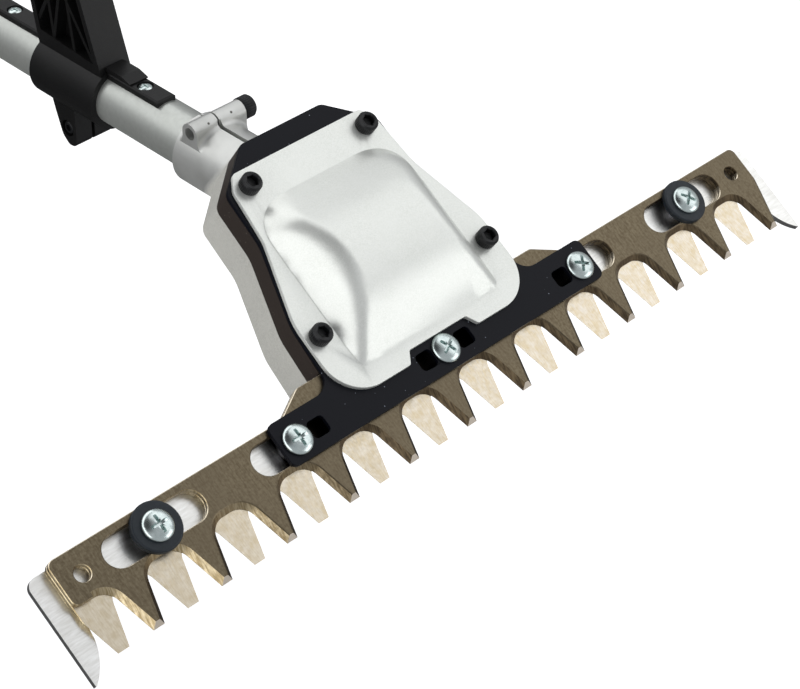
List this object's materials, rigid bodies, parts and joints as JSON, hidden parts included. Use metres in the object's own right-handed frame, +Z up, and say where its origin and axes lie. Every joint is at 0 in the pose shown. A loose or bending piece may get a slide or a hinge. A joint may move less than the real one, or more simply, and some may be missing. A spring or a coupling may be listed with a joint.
{
  "type": "hedge trimmer cutter head",
  "caption": "Reciprocating double blade with guide bar, bevel gearbox and clamped pole stub, for a pole hedge trimmer.",
  "frame": {"origin": "centre of the pole's free end", "axes": "+X along the blades, +Y from the teeth towards the pole, +Z up through the gear cover"},
  "size_m": [0.3924, 0.3165, 0.1757],
  "materials": {
    "blade_steel": "ground",
    "bar_steel": "brushed",
    "plate_black": "powder coated",
    "frame_casting": "satin",
    "cover_casting": "cast, satin",
    "housing_casting": "cast",
    "black_screw": "black oxide",
    "zinc_steel": "zinc plated",
    "black_washer": "black oxide",
    "gear_steel": "machined",
    "tube_aluminium": "matt",
    "black_plastic": "matt",
    "bearing_steel": "ground",
    "bush_plastic": "matt"
  },
  "bodies": {
    "head": {"guide_bar": "bar_steel", "holder_plate": "plate_black", "spacer_frame": "frame_casting", "gear_cover": "cover_casting", "gear_housing": "housing_casting", "cover_screws": "black_screw", "holder_screws": "zinc_steel", "holder_bushes": "gear_steel", "holder_nuts": "zinc_steel", "end_screws": "zinc_steel", "end_washers": "black_washer", "end_bushes": "gear_steel", "end_nuts": "zinc_steel", "clamp_screw": "black_screw", "pole_tube": "tube_aluminium", "pole_rail": "black_plastic", "rail_screws": "zinc_steel", "pole_bracket": "black_plastic", "bracket_screw": "black_screw", "bracket_nut": "zinc_steel", "gear_bearings": "bearing_steel", "pinion_bearings": "bearing_steel", "pinion_circlip": "gear_steel", "shaft_bushes": "bush_plastic"},
    "upper_blade": {"upper_blade": "blade_steel"},
    "lower_blade": {"lower_blade": "blade_steel"},
    "crank": {"gear_wheel": "gear_steel", "eccentric_upper": "gear_steel", "eccentric_lower": "gear_steel", "shaft_spacer": "gear_steel"},
    "drive": {"pinion_shaft": "gear_steel", "drive_shaft": "bearing_steel"}
  },
  "joints": [
    {"name": "crank_spin", "type": "hinge", "parent": "head", "child": "crank", "pos_m": [0, -0.21894, 0.14331], "axis": [0, 0, 1], "range_deg": [-90, 90]},
    {"name": "upper_slide", "type": "slide", "parent": "head", "child": "upper_blade", "axis": [1, 0, 0], "range_m": [-0.0079, 0.0079]},
    {"name": "lower_slide", "type": "slide", "parent": "head", "child": "lower_blade", "axis": [1, 0, 0], "range_m": [-0.0079, 0.0079]},
    {"name": "pinion_spin", "type": "hinge", "parent": "head", "child": "drive", "pos_m": [0, -0.14744, 0.09611], "axis": [0, 0.8377, -0.5461], "range_deg": [-271, 271]}
  ],
  "couplings": [
    {"joint": "upper_slide", "follows": "crank_spin", "m_per_rad": -0.0050134},
    {"joint": "lower_slide", "follows": "crank_spin", "m_per_rad": 0.0050134},
    {"joint": "pinion_spin", "follows": "crank_spin", "ratio": 3}
  ]
}
